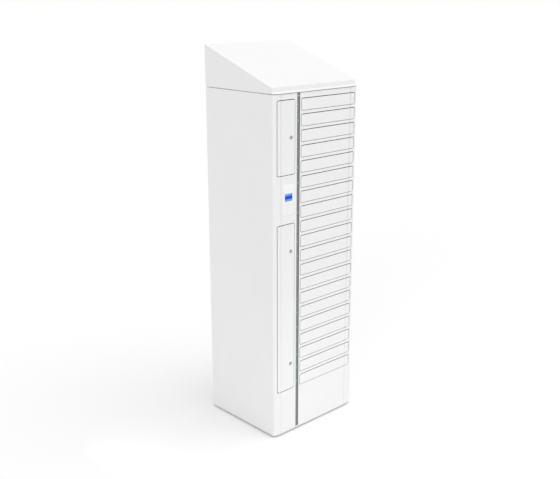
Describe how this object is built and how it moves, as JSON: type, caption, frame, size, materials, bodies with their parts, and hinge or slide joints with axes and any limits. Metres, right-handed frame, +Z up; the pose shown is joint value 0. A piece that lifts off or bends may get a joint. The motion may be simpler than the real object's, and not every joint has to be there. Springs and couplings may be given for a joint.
{
  "type": "laptop charging locker",
  "caption": "White steel laptop charging locker with stacked bay doors, service doors with cam locks, a status light strip, a small screen panel and a sloping hood.",
  "frame": {"origin": "floor level, under the middle of the body", "axes": "+Z up, -Y out of the doors, +X to the right as seen from the front"},
  "size_m": [0.584, 0.513, 1.9912],
  "materials": {
    "bezel_white": "satin",
    "black_plastic": "moulded",
    "circuit_board": "coated",
    "display": "lit screen",
    "door_coat": "satin",
    "galvanised": "brushed",
    "heat_sink": "anodised",
    "lamp_green": "lit",
    "lamp_red": "lit",
    "lamp_teal": "lit",
    "lamp_unlit": "frosted",
    "lock_chrome": "polished",
    "reader_white": "satin",
    "rubber_foot": "matte",
    "strip_grey": "satin",
    "white_coat": "satin"
  },
  "bodies": {
    "cabinet": {"front_frame": "white_coat", "body_wrap": "white_coat", "top_panel": "white_coat", "base_panel": "galvanised", "levelling_feet": "rubber_foot", "partition_wall": "galvanised", "bay_shelves": "galvanised", "service_shelves": "galvanised", "pivot_rods": "galvanised", "strike_channel": "galvanised", "bay_rear_wall": "galvanised", "charging_sockets": "black_plastic", "bay_latches": "black_plastic", "strip_channel": "strip_grey", "strip_board": "circuit_board", "strip_cover": "strip_grey", "status_lamps_green": "lamp_green", "status_lamps_red": "lamp_red", "status_lamps_teal": "lamp_teal", "status_lamps_unlit": "lamp_unlit", "status_light_bar": "lamp_teal", "panel_bezel": "bezel_white", "display_glass": "display", "card_reader": "reader_white", "control_housing": "black_plastic", "hood": "white_coat", "hood_spacer": "white_coat", "controller_unit": "heat_sink", "outlet_strip": "black_plastic", "mains_inlet": "black_plastic"},
    "bay_door_01": {"bay_door_01": "door_coat"},
    "bay_door_02": {"bay_door_02": "door_coat"},
    "bay_door_03": {"bay_door_03": "door_coat"},
    "bay_door_04": {"bay_door_04": "door_coat"},
    "bay_door_05": {"bay_door_05": "door_coat"},
    "bay_door_06": {"bay_door_06": "door_coat"},
    "bay_door_07": {"bay_door_07": "door_coat"},
    "bay_door_08": {"bay_door_08": "door_coat"},
    "bay_door_09": {"bay_door_09": "door_coat"},
    "bay_door_10": {"bay_door_10": "door_coat"},
    "bay_door_11": {"bay_door_11": "door_coat"},
    "bay_door_12": {"bay_door_12": "door_coat"},
    "bay_door_13": {"bay_door_13": "door_coat"},
    "bay_door_14": {"bay_door_14": "door_coat"},
    "bay_door_15": {"bay_door_15": "door_coat"},
    "bay_door_16": {"bay_door_16": "door_coat"},
    "bay_door_17": {"bay_door_17": "door_coat"},
    "bay_door_18": {"bay_door_18": "door_coat"},
    "bay_door_19": {"bay_door_19": "door_coat"},
    "bay_door_20": {"bay_door_20": "door_coat"},
    "upper_service_door": {"upper_service_door": "door_coat", "upper_lock_barrel": "lock_chrome"},
    "lower_service_door": {"lower_service_door": "door_coat", "lower_lock_barrels": "lock_chrome"},
    "upper_lock": {"upper_lock_plug": "lock_chrome", "upper_lock_cam": "galvanised"},
    "lower_lock_top": {"lower_lock_top_plug": "lock_chrome", "lower_lock_top_cam": "galvanised"},
    "lower_lock_bottom": {"lower_lock_bottom_plug": "lock_chrome", "lower_lock_bottom_cam": "galvanised"}
  },
  "joints": [
    {"name": "bay_door_01_hinge", "type": "hinge", "parent": "cabinet", "child": "bay_door_01", "pos_m": [0.261, -0.2494, 1.7235], "axis": [0, 0, 1], "range_deg": [0, 100]},
    {"name": "bay_door_02_hinge", "type": "hinge", "parent": "cabinet", "child": "bay_door_02", "pos_m": [0.261, -0.2494, 1.6475], "axis": [0, 0, 1], "range_deg": [0, 100]},
    {"name": "bay_door_03_hinge", "type": "hinge", "parent": "cabinet", "child": "bay_door_03", "pos_m": [0.261, -0.2494, 1.5715], "axis": [0, 0, 1], "range_deg": [0, 100]},
    {"name": "bay_door_04_hinge", "type": "hinge", "parent": "cabinet", "child": "bay_door_04", "pos_m": [0.261, -0.2494, 1.4955], "axis": [0, 0, 1], "range_deg": [0, 100]},
    {"name": "bay_door_05_hinge", "type": "hinge", "parent": "cabinet", "child": "bay_door_05", "pos_m": [0.261, -0.2494, 1.4195], "axis": [0, 0, 1], "range_deg": [0, 100]},
    {"name": "bay_door_06_hinge", "type": "hinge", "parent": "cabinet", "child": "bay_door_06", "pos_m": [0.261, -0.2494, 1.3435], "axis": [0, 0, 1], "range_deg": [0, 100]},
    {"name": "bay_door_07_hinge", "type": "hinge", "parent": "cabinet", "child": "bay_door_07", "pos_m": [0.261, -0.2494, 1.2675], "axis": [0, 0, 1], "range_deg": [0, 100]},
    {"name": "bay_door_08_hinge", "type": "hinge", "parent": "cabinet", "child": "bay_door_08", "pos_m": [0.261, -0.2494, 1.1915], "axis": [0, 0, 1], "range_deg": [0, 100]},
    {"name": "bay_door_09_hinge", "type": "hinge", "parent": "cabinet", "child": "bay_door_09", "pos_m": [0.261, -0.2494, 1.1155], "axis": [0, 0, 1], "range_deg": [0, 100]},
    {"name": "bay_door_10_hinge", "type": "hinge", "parent": "cabinet", "child": "bay_door_10", "pos_m": [0.261, -0.2494, 1.0395], "axis": [0, 0, 1], "range_deg": [0, 100]},
    {"name": "bay_door_11_hinge", "type": "hinge", "parent": "cabinet", "child": "bay_door_11", "pos_m": [0.261, -0.2494, 0.9635], "axis": [0, 0, 1], "range_deg": [0, 100]},
    {"name": "bay_door_12_hinge", "type": "hinge", "parent": "cabinet", "child": "bay_door_12", "pos_m": [0.261, -0.2494, 0.8875], "axis": [0, 0, 1], "range_deg": [0, 100]},
    {"name": "bay_door_13_hinge", "type": "hinge", "parent": "cabinet", "child": "bay_door_13", "pos_m": [0.261, -0.2494, 0.8115], "axis": [0, 0, 1], "range_deg": [0, 100]},
    {"name": "bay_door_14_hinge", "type": "hinge", "parent": "cabinet", "child": "bay_door_14", "pos_m": [0.261, -0.2494, 0.7355], "axis": [0, 0, 1], "range_deg": [0, 100]},
    {"name": "bay_door_15_hinge", "type": "hinge", "parent": "cabinet", "child": "bay_door_15", "pos_m": [0.261, -0.2494, 0.6595], "axis": [0, 0, 1], "range_deg": [0, 100]},
    {"name": "bay_door_16_hinge", "type": "hinge", "parent": "cabinet", "child": "bay_door_16", "pos_m": [0.261, -0.2494, 0.5835], "axis": [0, 0, 1], "range_deg": [0, 100]},
    {"name": "bay_door_17_hinge", "type": "hinge", "parent": "cabinet", "child": "bay_door_17", "pos_m": [0.261, -0.2494, 0.5075], "axis": [0, 0, 1], "range_deg": [0, 100]},
    {"name": "bay_door_18_hinge", "type": "hinge", "parent": "cabinet", "child": "bay_door_18", "pos_m": [0.261, -0.2494, 0.4315], "axis": [0, 0, 1], "range_deg": [0, 100]},
    {"name": "bay_door_19_hinge", "type": "hinge", "parent": "cabinet", "child": "bay_door_19", "pos_m": [0.261, -0.2494, 0.3555], "axis": [0, 0, 1], "range_deg": [0, 100]},
    {"name": "bay_door_20_hinge", "type": "hinge", "parent": "cabinet", "child": "bay_door_20", "pos_m": [0.261, -0.2494, 0.2795], "axis": [0, 0, 1], "range_deg": [0, 100]},
    {"name": "upper_service_door_hinge", "type": "hinge", "parent": "cabinet", "child": "upper_service_door", "pos_m": [-0.261, -0.2494, 1.5715], "axis": [0, 0, -1], "range_deg": [0, 100]},
    {"name": "lower_service_door_hinge", "type": "hinge", "parent": "cabinet", "child": "lower_service_door", "pos_m": [-0.261, -0.2494, 0.6975], "axis": [0, 0, -1], "range_deg": [0, 100]},
    {"name": "upper_lock_turn", "type": "hinge", "parent": "upper_service_door", "child": "upper_lock", "pos_m": [-0.181, -0.255, 1.5715], "axis": [0, -1, 0], "range_deg": [0, 90]},
    {"name": "lower_lock_top_turn", "type": "hinge", "parent": "lower_service_door", "child": "lower_lock_top", "pos_m": [-0.181, -0.255, 1.001], "axis": [0, -1, 0], "range_deg": [0, 90]},
    {"name": "lower_lock_bottom_turn", "type": "hinge", "parent": "lower_service_door", "child": "lower_lock_bottom", "pos_m": [-0.181, -0.255, 0.394], "axis": [0, -1, 0], "range_deg": [0, 90]}
  ]
}
